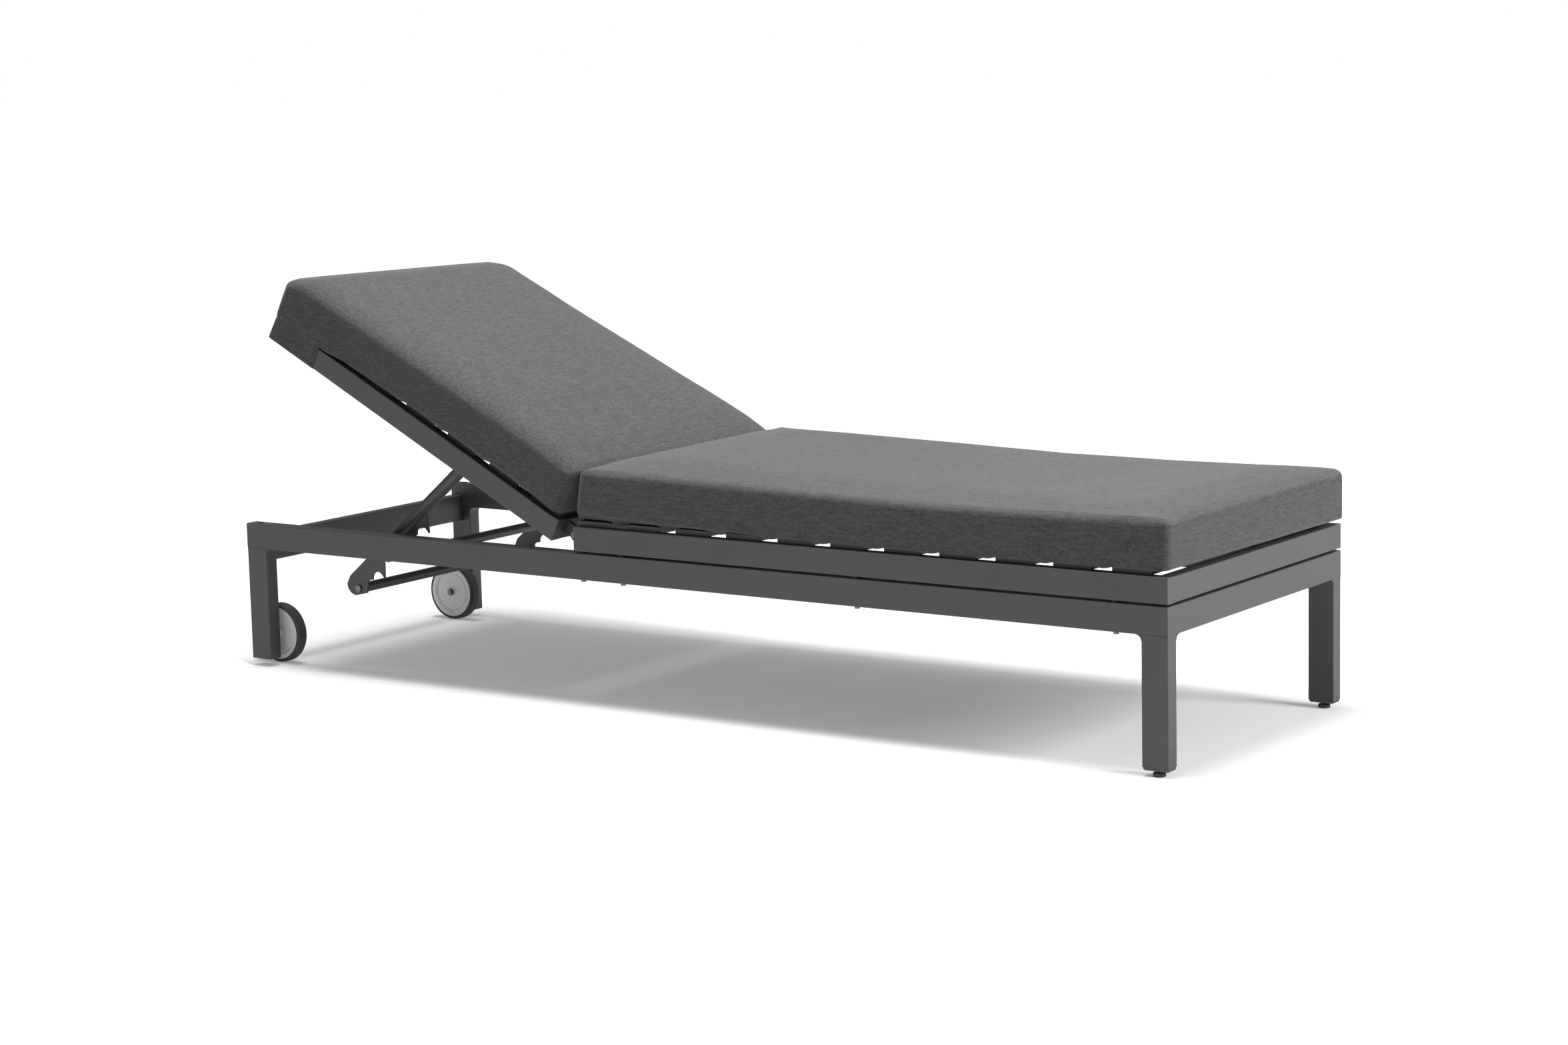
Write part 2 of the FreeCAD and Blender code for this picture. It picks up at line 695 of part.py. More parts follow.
def bolt_and_nut(label, x, z, head_y, grip, nut_gap):
    """A hinge bolt along Y: its head ends at head_y, and its nut sits nut_gap past the grip."""
    nut_y = head_y + grip + nut_gap
    head = rod(label + "_head", "Y", (x, head_y - s.hinge_bolt_head_height, z), s.hinge_bolt_head_radius,
               s.hinge_bolt_head_height)
    shank = rod(label + "_shank", "Y", (x, head_y, z), s.hinge_bolt_radius,
                grip + nut_gap + s.hinge_bolt_head_height)
    nut_blank = rod(label + "_nut_blank", "Y", (x, nut_y, z), s.hinge_bolt_head_radius,
                    s.hinge_bolt_head_height)
    nut_hole = rod(label + "_nut_hole", "Y", (x, nut_y - s.overrun, z), s.hinge_bolt_radius,
                   s.hinge_bolt_head_height + s.overrun * 2)
    nut = cut(label + "_nut", nut_blank, [nut_hole])
    return group(label, [fuse(label + "_bolt", [head, shank]), nut])


hinge_bolt = bolt_and_nut("hinge_bolt", hinge_x, s.hinge_above_floor, ear_y, hinge_end_y - ear_y, zero)
node(both_sides("hinge_bolts", hinge_bolt), "hinge_bolts")

# Prop pivot: an ear on a flange from the backrest's side rail
pivot_x = -s.prop_pivot_from_hinge
pivot_z = -s.prop_pivot_below_hinge
tube_right_y = prop_y - s.prop_tube_radius
prop_ear_left_y = tube_right_y - s.prop_ear_gap
prop_ear_right_y = prop_ear_left_y - s.prop_ear_thickness
prop_ear_top = s.prop_flange_above_hinge
ear_radius = s.prop_ear_radius
prop_ear_outline = [
    (pivot_x + ear_radius, pivot_z, None),
    (pivot_x + ear_radius, prop_ear_top, None),
    (pivot_x - ear_radius, prop_ear_top, None),
    (pivot_x - ear_radius, pivot_z, (pivot_x, pivot_z - ear_radius)),
]
prop_ear = side_plate("prop_ear", prop_ear_outline, [((pivot_x, pivot_z), s.hinge_bolt_radius)],
                      prop_ear_left_y, s.prop_ear_thickness)
prop_flange = box("prop_flange", (pivot_x - ear_radius, back_inner_y, prop_ear_top - s.prop_ear_thickness),
                  (ear_radius * 2, prop_ear_left_y - back_inner_y, s.prop_ear_thickness))
prop_bracket = fuse("prop_bracket", [prop_ear, prop_flange])
node(on_backrest("prop_pivot_brackets", both_sides("prop_brackets_flat", prop_bracket)), "prop_pivot_brackets")
prop_bolt = bolt_and_nut("prop_bolt", pivot_x, pivot_z, prop_ear_right_y,
                         prop_y + s.prop_tube_radius - prop_ear_right_y, s.prop_nut_gap)
node(on_backrest("prop_pivot_bolts", both_sides("prop_bolts_flat", prop_bolt)), "prop_pivot_bolts")

# Prop tubes: slotted at the lower end for the rack plates
prop_tube_blank = rod("prop_tube_blank", "X", (-s.prop_tube_length, prop_y, zero), s.prop_tube_radius,
                      s.prop_tube_length + s.prop_tube_overhang)
prop_tube_bore = rod("prop_tube_bore", "X", (-s.prop_tube_length - s.overrun, prop_y, zero),
                     s.prop_tube_radius - s.tube_wall,
                     s.prop_tube_length + s.prop_tube_overhang + s.overrun * 2)
prop_slot_length = s.prop_tube_length - s.rack_start + s.overrun
prop_tube_slot = box("prop_tube_slot",
                     (-s.prop_tube_length - s.overrun, rack_right_y, -s.prop_tube_radius - s.overrun),
                     (prop_slot_length, s.rack_thickness, s.prop_tube_radius * 2 + s.overrun * 2))
prop_bolt_hole = rod("prop_bolt_hole", "Y", (zero, prop_y - s.prop_tube_radius - s.overrun, zero),
                     s.hinge_bolt_radius + s.running_gap, s.prop_tube_radius * 2 + s.overrun * 2)
prop_tube = cut("prop_tube_folded", prop_tube_blank, [prop_tube_bore, prop_tube_slot, prop_bolt_hole])
prop_tube_right = node(on_prop("prop_tube_right", prop_tube), "prop_tube_right")
node(mirrored("prop_tube_left", prop_tube_right), "prop_tube_left")

# Rack plates: hooks with round notches between them, then a heel and a round toe
foot_rise = s.rack_notch_depth.value - s.rack_foot_depth.value
foot_reach_share = math.sqrt(1 - (foot_rise / s.rack_notch_radius.value) ** 2)
rack_outline = [
    (-s.rack_start, s.prop_tube_radius, None),
    (-s.rack_start, -s.prop_tube_radius, None),
    (-s.rack_first_root, -s.prop_tube_radius, None),
]
for number in range(notch_count):
    notch_middle = s.rack_first_notch + s.rack_pitch * number
    if number:
        rack_outline += [
            (-notch_middle + s.rack_pitch - s.rack_foot_past_notch, -s.rack_foot_end_depth, None),
            (-notch_middle + s.rack_root_before_notch, -s.rack_root_depth, None),
        ]
    hook_side = notch_middle - s.rack_notch_radius
    foot_side = notch_middle + s.rack_notch_radius * foot_reach_share
    rack_outline += [
        (-hook_side + s.rack_tip_width, -s.rack_tip_depth, None),
        (-hook_side, -s.rack_tip_depth, None),
        (-hook_side, -s.rack_notch_depth, (-notch_middle, s.rack_notch_radius - s.rack_notch_depth)),
        (-foot_side, -s.rack_foot_depth, None),
    ]
rack_outline += [
    (-s.rack_heel_start, -s.rack_heel_start_depth, None),
    (-s.rack_heel_turn, -s.rack_heel_turn_depth, None),
    (-s.rack_heel_end, -s.rack_heel_depth, None),
    (-s.rack_toe_start, -s.rack_toe_start_depth, (-s.rack_toe_middle, -s.rack_toe_middle_depth)),
    (-s.rack_toe_end, s.rack_toe_rise, None),
    (-s.rack_toe_back, s.prop_tube_radius, None),
]
cross_centre = (-s.cross_bar_along, -s.cross_bar_across)
rack_plate = side_plate("rack_plate_folded", rack_outline, [(cross_centre, s.cross_bolt_radius)], rack_left_y,
                        s.rack_thickness)
rack_plate_right = node(on_prop("rack_plate_right", rack_plate), "rack_plate_right")
node(mirrored("rack_plate_left", rack_plate_right), "rack_plate_left")

cross_bar_blank = round_tube("cross_bar_blank", (cross_centre[0], rack_left_y, cross_centre[1]),
                             s.cross_bar_radius, -rack_left_y * 2)
cross_bar_hole = rod("cross_bar_hole", "Y", (cross_centre[0], rack_left_y - s.overrun, cross_centre[1]),
                     s.cross_bolt_radius, -rack_left_y * 2 + s.overrun * 2)
node(on_prop("prop_cross_bar", cut("cross_bar_folded", cross_bar_blank, [cross_bar_hole])), "prop_cross_bar")
cross_bolt_head = rod("cross_bolt_head", "Y",
                      (cross_centre[0], rack_right_y - s.cross_bolt_head_height, cross_centre[1]),
                      s.cross_bolt_head_radius, s.cross_bolt_head_height)
cross_bolt_shank = rod("cross_bolt_shank", "Y", (cross_centre[0], rack_right_y, cross_centre[1]),
                       s.cross_bolt_radius, s.rack_thickness + s.cross_bolt_grip)
cross_bolt = fuse("cross_bolt", [cross_bolt_head, cross_bolt_shank])
node(on_prop("prop_cross_bar_bolts", both_sides("cross_bolts_folded", cross_bolt)), "prop_cross_bar_bolts")

# Wheels on stub axles inside the head legs
wheel_right_y = inner_y + s.wheel_spacer_length
wheel_y = wheel_right_y + s.tyre_width / 2
wheel_centre = (axle_x, wheel_y, axle_z)
tyre_half = s.tyre_width / 2
tyre_edge = tyre_half - s.tyre_side_inset
shoulder_bow = s.tyre_shoulder * quarter_arc_share
tyre_outline = [
    (s.tyre_inner_radius, -tyre_edge, None),
    (s.wheel_radius - s.tyre_shoulder, -tyre_edge, (s.wheel_radius - shoulder_bow, -tyre_edge + shoulder_bow)),
    (s.wheel_radius, -tyre_edge + s.tyre_shoulder, None),
    (s.wheel_radius, tyre_edge - s.tyre_shoulder, (s.wheel_radius - shoulder_bow, tyre_edge - shoulder_bow)),
    (s.wheel_radius - s.tyre_shoulder, tyre_edge, None),
    (s.tyre_inner_radius, tyre_edge, None),
]
tyre_right = node(turned("wheel_tyre_right", tyre_outline, wheel_centre), "wheel_tyre_right")
node(mirrored("wheel_tyre_left", tyre_right), "wheel_tyre_left")
boss_half = tyre_half - s.hub_end_gap
web_half = tyre_half - s.hub_web_inset
rim_half = tyre_half - s.hub_rim_inset
rim_start = s.tyre_inner_radius - s.hub_rim_width
groove_half = s.hub_groove_width / 2
hub_bore = s.axle_radius + s.running_gap
hub_face = [
    (hub_bore, boss_half),
    (s.hub_boss_radius, boss_half),
    (s.hub_boss_radius, web_half),
    (s.hub_groove_radius - groove_half, web_half),
    (s.hub_groove_radius, web_half - s.hub_groove_depth),
    (s.hub_groove_radius + groove_half, web_half),
    (rim_start, rim_half),
    (s.tyre_inner_radius, rim_half),
]
hub_outline = [(radius, -y, None) for radius, y in hub_face]
hub_outline += [(radius, y, None) for radius, y in reversed(hub_face)]
hub_right = node(turned("wheel_hub_right", hub_outline, wheel_centre), "wheel_hub_right")
node(mirrored("wheel_hub_left", hub_right), "wheel_hub_left")

washer_y = wheel_right_y + s.tyre_width
washer_blank = rod("washer_blank", "Y", (axle_x, washer_y, axle_z), s.axle_washer_radius,
                   s.axle_washer_thickness)
washer_hole = rod("washer_hole", "Y", (axle_x, washer_y - s.overrun, axle_z), s.axle_radius,
                  s.axle_washer_thickness + s.overrun * 2)
node(both_sides("wheel_washers", cut("washer", washer_blank, [washer_hole])), "wheel_washers")
axle_head_y = washer_y + s.axle_washer_thickness
axle_head = rod("axle_head", "Y", (axle_x, axle_head_y, axle_z), s.axle_head_radius, s.axle_head_height)
axle_shank = rod("axle_shank", "Y", (axle_x, inner_y - s.axle_grip, axle_z), s.axle_radius,
                 axle_head_y - inner_y + s.axle_grip)
node(both_sides("wheel_axle_bolts", fuse("axle_right", [axle_head, axle_shank])), "wheel_axle_bolts")
wheel_spacer_blank = rod("wheel_spacer_blank", "Y", (axle_x, inner_y, axle_z), s.wheel_spacer_radius,
                         s.wheel_spacer_length)
wheel_spacer_hole = rod("wheel_spacer_hole", "Y", (axle_x, inner_y - s.overrun, axle_z), s.axle_radius,
                        s.wheel_spacer_length + s.overrun * 2)
node(both_sides("wheel_spacers", cut("wheel_spacer", wheel_spacer_blank, [wheel_spacer_hole])), "wheel_spacers")

# Buffers on the base rails: the flat backrest's sleeve comes down just above them
bumper_height = (s.hinge_above_floor - s.back_rail_below_hinge - s.hood_thickness - s.bumper_gap - s.rail_top)
bumper = rod("bumper_right", "Z", (axle_x, leg_middle_y, s.rail_top), s.bumper_radius, bumper_height)
node(both_sides("head_bumpers", bumper), "head_bumpers")


# Cushions: side profiles lofted across the width, smaller at both sides and crowned in the middle
def cushion(label, profile, crown, half_width):
    """Lofts profile(inset, lift) outlines across the width."""
    stations = [
        (half_width, s.cushion_side_round, zero),
        (half_width - s.cushion_side_pull, s.cushion_side_pull * quarter_arc_share, zero),
        (half_width - s.cushion_side_full, zero, crown / 2),
        (zero, zero, crown),
    ]
    places = stations + [(-y, inset, lift) for y, inset, lift in reversed(stations[:-1])]
    sections = []
    for number, (y, inset, lift) in enumerate(places):
        sketch = doc.addObject("Sketcher::SketchObject", "%s_section_%d" % (label, number))
        put(sketch, stand_up, (zero, y, zero))
        draw_outline(sketch, profile(inset, lift))
        sections.append(sketch)
    item = doc.addObject("Part::Loft", label)
    item.Sections = sections
    item.Solid = True
    item.Ruled = True
    return item


seat_cushion_bottom = seat_top + s.slat_thickness + s.cushion_gap
seat_cushion_start = seat_start + s.seat_cushion_head_gap


def seat_profile(inset, lift):
    head, foot = seat_cushion_start + inset, foot_x - inset
    low, high = s.cushion_low_corner, s.cushion_top_corner
    low_bow, high_bow = low * quarter_arc_share, high * quarter_arc_share
    bottom = seat_cushion_bottom + inset / 2
    head_top = seat_cushion_bottom + s.seat_cushion_head_height - inset + lift
    foot_top = seat_cushion_bottom + s.seat_cushion_foot_height - inset + lift
    return [
        (head + low, bottom, None),
        (foot - low, bottom, (foot - low_bow, bottom + low_bow)),
        (foot, bottom + low, None),
        (foot, foot_top - high, (foot - high_bow, foot_top - high_bow)),
        (foot - high, foot_top, None),
        (head + high, head_top, (head + high_bow, head_top - high_bow)),
        (head, head_top - high, None),
        (head, bottom + low, (head + low_bow, bottom + low_bow)),
    ]


back_cushion_bottom = back_top + s.slat_thickness + s.cushion_gap


def back_profile(inset, lift):
    head = back_low_x + s.back_cushion_head_inset + inset
    low = s.cushion_low_corner
    low_bow = low * quarter_arc_share
    bottom = back_cushion_bottom + inset / 2
    top = back_cushion_bottom - inset + lift
    turn = s.back_cushion_head_turn
    head_side = back_cushion_bottom + s.back_cushion_head_side - inset
    turn_z = top + s.back_cushion_head_height
    return [
        (head + low, bottom, None),
        (-s.back_cushion_start - inset, bottom, None),
        (-s.back_cushion_lean_start - inset, top + s.back_cushion_lean_height, None),
        (-s.back_cushion_turn_start - inset, top + s.back_cushion_turn_height,
         (-s.back_cushion_middle, top + s.back_cushion_middle_height)),
        (head + turn, turn_z,
         (head + turn * quarter_arc_share, turn_z - (turn_z - head_side) * quarter_arc_share)),
        (head, head_side, None),
        (head, bottom + low, (head + low_bow, bottom + low_bow)),
    ]


def foam_block(label, start_x, end_x, bottom, height):
    side = s.frame_width / 2 - s.foam_side_inset
    return box(label, (start_x, -side, bottom + s.foam_bottom_inset),
               (end_x - start_x, side * 2, height - s.foam_bottom_inset))


def hollow_cover(label, filled, cavity):
    item = cut(label, filled, [cavity])
    item.Refine = False
    return item


half_width = s.frame_width / 2
seat_foam = (seat_cushion_start + s.foam_end_inset, foot_x - s.foam_end_inset, seat_cushion_bottom,
             s.seat_foam_height)
seat_cover = hollow_cover("seat_cover",
                          cushion("seat_cushion", seat_profile, s.seat_cushion_crown, half_width),
                          foam_block("seat_cavity", *seat_foam))
node(group("seat_cushion_cover", [seat_cover]), "seat_cushion_cover")
node(foam_block("seat_cushion_foam", *seat_foam), "seat_cushion_foam")
back_foam = (back_low_x + s.foam_head_inset, -s.back_cushion_turn_start, back_cushion_bottom,
             s.back_foam_height)
back_cover = hollow_cover("back_cover",
                          cushion("back_cushion", back_profile, s.back_cushion_crown, half_width),
                          foam_block("back_cavity", *back_foam))
node(on_backrest("back_cushion_cover", back_cover), "back_cushion_cover")
node(on_backrest("back_cushion_foam", foam_block("back_foam_flat", *back_foam)), "back_cushion_foam")

# Sleeve of the backrest cushion: underside, head end and both sides, open above and below
hood_outer = box("hood_outer", (back_low_x - s.hood_thickness, right_y, back_bottom - s.hood_thickness),
                 (s.hood_length, s.frame_width, s.back_rail_height + s.slat_thickness + s.hood_thickness))
hood_inner = box("hood_inner", (back_low_x, back_right_y, back_bottom),
                 (s.hood_length, -back_right_y * 2, s.back_rail_height + s.slat_thickness + s.overrun))
node(on_backrest("back_cushion_hood", cut("hood_flat", hood_outer, [hood_inner])), "back_cushion_hood")

doc.recompute()
failed = [item.Label for item in doc.Objects if "Invalid" in item.State or "Error" in item.State]
if failed:
    raise ValueError("Not recomputed: " + ", ".join(failed))
for item in nodes:
    if item.Shape.isNull() or not item.Shape.isValid() or not item.Shape.Solids:
        raise ValueError("%s has no valid solid" % item.Label)

os.makedirs("parts", exist_ok=True)
for item in nodes:
    item.Shape.exportStep("parts/%s.step" % item.Label)
    print("%-24s %d solids, %10.0f mm3" % (item.Label, len(item.Shape.Solids), item.Shape.Volume))
whole = Part.makeCompound([item.Shape for item in nodes]).BoundBox
print("%d nodes, X %.1f to %.1f, Y %.1f to %.1f, Z %.1f to %.1f" % (
    len(nodes), whole.XMin, whole.XMax, whole.YMin, whole.YMax, whole.ZMin, whole.ZMax))
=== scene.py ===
import json
import math
import bmesh
import bpy
from mathutils import Matrix, Vector


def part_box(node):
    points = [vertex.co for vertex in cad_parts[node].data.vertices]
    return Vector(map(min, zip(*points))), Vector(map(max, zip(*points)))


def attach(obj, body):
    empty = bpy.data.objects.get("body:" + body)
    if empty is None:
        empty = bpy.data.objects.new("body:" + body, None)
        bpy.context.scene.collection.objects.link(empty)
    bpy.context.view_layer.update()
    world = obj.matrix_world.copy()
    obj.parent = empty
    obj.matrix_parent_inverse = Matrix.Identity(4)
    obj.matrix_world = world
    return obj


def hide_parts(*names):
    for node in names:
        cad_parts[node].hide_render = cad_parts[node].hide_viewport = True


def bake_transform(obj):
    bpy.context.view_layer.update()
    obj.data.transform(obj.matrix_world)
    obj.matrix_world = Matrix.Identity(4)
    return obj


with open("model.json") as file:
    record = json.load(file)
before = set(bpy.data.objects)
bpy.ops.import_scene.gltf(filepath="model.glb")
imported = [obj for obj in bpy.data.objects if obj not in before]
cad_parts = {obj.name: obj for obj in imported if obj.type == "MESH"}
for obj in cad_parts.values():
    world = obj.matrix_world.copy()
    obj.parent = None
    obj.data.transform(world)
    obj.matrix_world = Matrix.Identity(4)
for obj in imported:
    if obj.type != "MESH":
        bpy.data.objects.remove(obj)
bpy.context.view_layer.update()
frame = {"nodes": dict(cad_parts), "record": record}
scene = bpy.context.scene

# camera of the photograph, found from the straight tubes of the frame
photoCamera = {
    "location": (3.5884, -5.0536, 1.2591),
    "azimuth": 34.914,
    "elevation": 8.677,
    "roll": -1.352,
    "lens": 75.40,
    "sensorMm": 36,
    "clipEnd": 100,
}


def makeCamera(spec):
    azimuth, elevation, roll = (math.radians(spec[key]) for key in ("azimuth", "elevation", "roll"))
    back = Vector((math.sin(azimuth) * math.cos(elevation),
                   -math.cos(azimuth) * math.cos(elevation),
                   math.sin(elevation)))
    right = Vector((math.cos(azimuth), math.sin(azimuth), 0))
    up = back.cross(right)
    rolledRight = right * math.cos(roll) + up * math.sin(roll)
    rolledUp = up * math.cos(roll) - right * math.sin(roll)
    turn = Matrix((rolledRight, rolledUp, back)).transposed().to_4x4()
    cameraData = bpy.data.cameras.new("photoCamera")
    cameraData.sensor_width = spec["sensorMm"]
    cameraData.lens = spec["lens"]
    cameraData.clip_end = spec["clipEnd"]
    camera = bpy.data.objects.new("photoCamera", cameraData)
    camera.matrix_world = Matrix.Translation(spec["location"]) @ turn
    scene.collection.objects.link(camera)
    scene.camera = camera


makeCamera(photoCamera)
print("camera placed")


# materials; a hex value is an sRGB colour, and the shaders take linear ones
def linearColour(hexText):
    values = [int(hexText[i:i + 2], 16) / 255 for i in (1, 3, 5)]
    return [v / 12.92 if v <= 0.04045 else ((v + 0.055) / 1.055) ** 2.4 for v in values] + [1.0]


def addNode(tree, kind, settings=(), inputs=(), links=()):
    node = tree.nodes.new(kind)
    for name, value in dict(settings).items():
        setattr(node, name, value)
    for name, value in dict(inputs).items():
        node.inputs[name].default_value = value
    for name, socket in dict(links).items():
        tree.links.new(socket, node.inputs[name])
    return node


def newMaterial(name, shaderInputs):
    material = bpy.data.materials.new(name)
    material.use_nodes = True
    tree = material.node_tree
    tree.nodes.clear()
    shader = addNode(tree, "ShaderNodeBsdfPrincipled", inputs=shaderInputs)
    output = addNode(tree, "ShaderNodeOutputMaterial")
    tree.links.new(shader.outputs[0], output.inputs[0])
    return material, tree, shader


def objectPoint(tree, turnY=0.0, stretch=(1, 1, 1)):
    place = addNode(tree, "ShaderNodeTexCoord")
    return addNode(tree, "ShaderNodeMapping",
                   inputs={"Rotation": (0, math.radians(turnY), 0), "Scale": stretch},
                   links={"Vector": place.outputs["Object"]}).outputs[0]


def blendColours(tree, factor, dark, light):
    mix = addNode(tree, "ShaderNodeMix", {"data_type": "RGBA"}, links={0: factor})
    mix.inputs[6].default_value = linearColour(dark)
    mix.inputs[7].default_value = linearColour(light)
    return mix.outputs[2]


powderCoat = {
    "dark": "#3c3c3c",
    "light": "#434343",
    "cloudScale": 9,
    "grainMm": 1.1,
    "grainDepth": 0.0003,
    "roughness": 0.47,
    "roughnessSpread": 0.06,
    "bump": 0.12,
}


# Polyester powder coat on aluminium: an even satin charcoal with a fine orange-peel grain
def makePowderCoat(spec):
    material, tree, shader = newMaterial("powderCoatCharcoal", {"Roughness": spec["roughness"]})
    point = objectPoint(tree)
    cloud = addNode(tree, "ShaderNodeTexNoise", inputs={"Scale": spec["cloudScale"], "Detail": 3},
                    links={"Vector": point})
    grain = addNode(tree, "ShaderNodeTexNoise",
                    inputs={"Scale": 1000 / spec["grainMm"], "Detail": 2}, links={"Vector": point})
    tree.links.new(blendColours(tree, cloud.outputs[0], spec["dark"], spec["light"]),
                   shader.inputs["Base Color"])
    rough = addNode(tree, "ShaderNodeMapRange",
                    inputs={"To Min": spec["roughness"] - spec["roughnessSpread"],
                            "To Max": spec["roughness"] + spec["roughnessSpread"]},
                    links={"Value": grain.outputs[0]})
    tree.links.new(rough.outputs[0], shader.inputs["Roughness"])
    bump = addNode(tree, "ShaderNodeBump",
                   inputs={"Strength": spec["bump"], "Distance": spec["grainDepth"]},
                   links={"Height": grain.outputs[0]})
    tree.links.new(bump.outputs[0], shader.inputs["Normal"])
    return material


cushionCloth = {
    "dark": "#343434",
    "light": "#4e4e4e",
    "roughness": 0.92,
    "sheen": 0.25,
    "sheenRoughness": 0.5,
    "specular": 0.2,
    "threadMm": 2.2,
    "threadDepth": 0.0006,
    "threadBump": 0.35,
    "waveAtScaleOne": 0.314,
    "slubMm": 8.0,
    "slubStretch": 7,
    "heatherRange": (0.78, 1.22),
    "foldScale": 7,
    "foldDepth": 0.012,
    "foldBump": 0.35,
}


# Solution-dyed acrylic, plain woven from mixed charcoal yarns: matt and heathered, with a soft
# sheen at the rims. The threads are about 0.6 mm on the real cloth and are drawn coarser so that
# they show. A wave texture of scale one repeats every waveAtScaleOne metres.
def makeCushionCloth(name, spec, turnY):
    material, tree, shader = newMaterial(
        name, {"Roughness": spec["roughness"], "Sheen Weight": spec["sheen"],
               "Sheen Roughness": spec["sheenRoughness"], "Specular IOR Level": spec["specular"]})
    point = objectPoint(tree, turnY)
    waveScale = spec["waveAtScaleOne"] / (spec["threadMm"] / 1000)
    waves = [addNode(tree, "ShaderNodeTexWave", {"bands_direction": axis, "wave_profile": "SIN"},
                     {"Scale": waveScale, "Distortion": 0.6, "Detail": 1, "Detail Scale": 2},
                     {"Vector": point}).outputs["Fac"] for axis in ("X", "Y", "Z")]
    pair = addNode(tree, "ShaderNodeMath", {"operation": "MULTIPLY"},
                   links={0: waves[0], 1: waves[1]})
    weave = addNode(tree, "ShaderNodeMath", {"operation": "MULTIPLY_ADD"}, {1: 0.5},
                    {0: waves[2], 2: pair.outputs[0]})
    slubs = []
    across = spec["slubStretch"]
    for stretch in ((1, across, across), (across, 1, across)):
        stretched = objectPoint(tree, turnY, stretch)
        slubs.append(addNode(tree, "ShaderNodeTexNoise",
                             inputs={"Scale": 1000 / spec["slubMm"] / 3, "Detail": 3,
                                     "Roughness": 0.7},
                             links={"Vector": stretched}).outputs[0])
    heather = addNode(tree, "ShaderNodeMath", {"operation": "ADD"},
                      links={0: slubs[0], 1: slubs[1]})
    shade = addNode(tree, "ShaderNodeMapRange",
                    inputs={"From Min": spec["heatherRange"][0],
                            "From Max": spec["heatherRange"][1]},
                    links={"Value": heather.outputs[0]})
    tree.links.new(blendColours(tree, shade.outputs[0], spec["dark"], spec["light"]),
                   shader.inputs["Base Color"])
    folds = addNode(tree, "ShaderNodeTexNoise", inputs={"Scale": spec["foldScale"], "Detail": 2},
                    links={"Vector": point})
    foldBump = addNode(tree, "ShaderNodeBump",
                       inputs={"Strength": spec["foldBump"], "Distance": spec["foldDepth"]},
                       links={"Height": folds.outputs[0]})
    weaveBump = addNode(tree, "ShaderNodeBump",
                        inputs={"Strength": spec["threadBump"], "Distance": spec["threadDepth"]},
                        links={"Height": weave.outputs[0], "Normal": foldBump.outputs[0]})
    tree.links.new(weaveBump.outputs[0], shader.inputs["Normal"])
    return material


plainFinishes = {
    "glassFilledNylonDark": {"dark": "#3b3b3c", "light": "#444445", "roughness": 0.55,
                             "grainMm": 1.4},
    "mouldedPolypropyleneGrey": {"dark": "#eaeaea", "light": "#f1f1f1", "roughness": 0.42,
                                 "grainMm": 1.6},
    "softRubberTread": {"dark": "#414142", "light": "#4a4a4b", "roughness": 0.75, "grainMm": 1.2},
    "zincPlatedSteelDull": {"dark": "#5d5d5e", "light": "#777778", "roughness": 0.38,
                            "grainMm": 1.0},
    "polyetherFoamPale": {"dark": "#d9d6cc", "light": "#e4e1d8", "roughness": 0.9, "grainMm": 2.5},
}
plainGrain = {"cloudScale": 40, "bump": 0.15, "depth": 0.0003}


# Moulded and plated small parts: one even colour broken up by a spark-eroded grain
def makePlainFinish(name):
    spec = plainFinishes[name]
    metal = 1.0 if "Steel" in name else 0.0
    material, tree, shader = newMaterial(name, {"Metallic": metal, "Roughness": spec["roughness"]})
    point = objectPoint(tree)
    grain = addNode(tree, "ShaderNodeTexNoise",
                    inputs={"Scale": 1000 / spec["grainMm"], "Detail": 2}, links={"Vector": point})
    cloud = addNode(tree, "ShaderNodeTexNoise",
                    inputs={"Scale": plainGrain["cloudScale"], "Detail": 2},
                    links={"Vector": point})
    tree.links.new(blendColours(tree, cloud.outputs[0], spec["dark"], spec["light"]),
                   shader.inputs["Base Color"])
    bump = addNode(tree, "ShaderNodeBump",
                   inputs={"Strength": plainGrain["bump"], "Distance": plainGrain["depth"]},
                   links={"Height": grain.outputs[0]})
    tree.links.new(bump.outputs[0], shader.inputs["Normal"])
    return material


# degrees that the backrest of the photo stands above flat
backAngle = 27.2
finishes = {
    "frame_coat": makePowderCoat(powderCoat),
    "cushion_fabric": makeCushionCloth("wovenAcrylicCharcoal", cushionCloth, 0),
    "cap_plastic": makePlainFinish("glassFilledNylonDark"),
    "bolt_steel": makePlainFinish("zincPlatedSteelDull"),
    "wheel_plastic": makePlainFinish("mouldedPolypropyleneGrey"),
    "wheel_tread": makePlainFinish("softRubberTread"),
    "cushion_foam": makePlainFinish("polyetherFoamPale"),
}
backCloth = makeCushionCloth("wovenAcrylicCharcoalBack", cushionCloth, backAngle)
for entry in frame["record"]["subparts"]:
    node = frame["nodes"][entry["node"]]
    node.data.materials.clear()
    node.data.materials.append(finishes[entry["material_slot"]])
print("materials made")


# cushions
def addPiece(name, bm, material):
    mesh = bpy.data.meshes.new(name)
    bm.to_mesh(mesh)
    bm.free()
    mesh.materials.append(material)
    piece = bpy.data.objects.new(name, mesh)
    scene.collection.objects.link(piece)
    return piece


def applyModifiers(piece):
    evaluated = piece.evaluated_get(bpy.context.evaluated_depsgraph_get())
    mesh = bpy.data.meshes.new_from_object(evaluated)
    piece.modifiers.clear()
    old = piece.data
    piece.data = mesh
    bpy.data.meshes.remove(old)


swelling = {"quality": 5, "stiffness": 12, "frames": 20, "undersideNormal": -0.5}


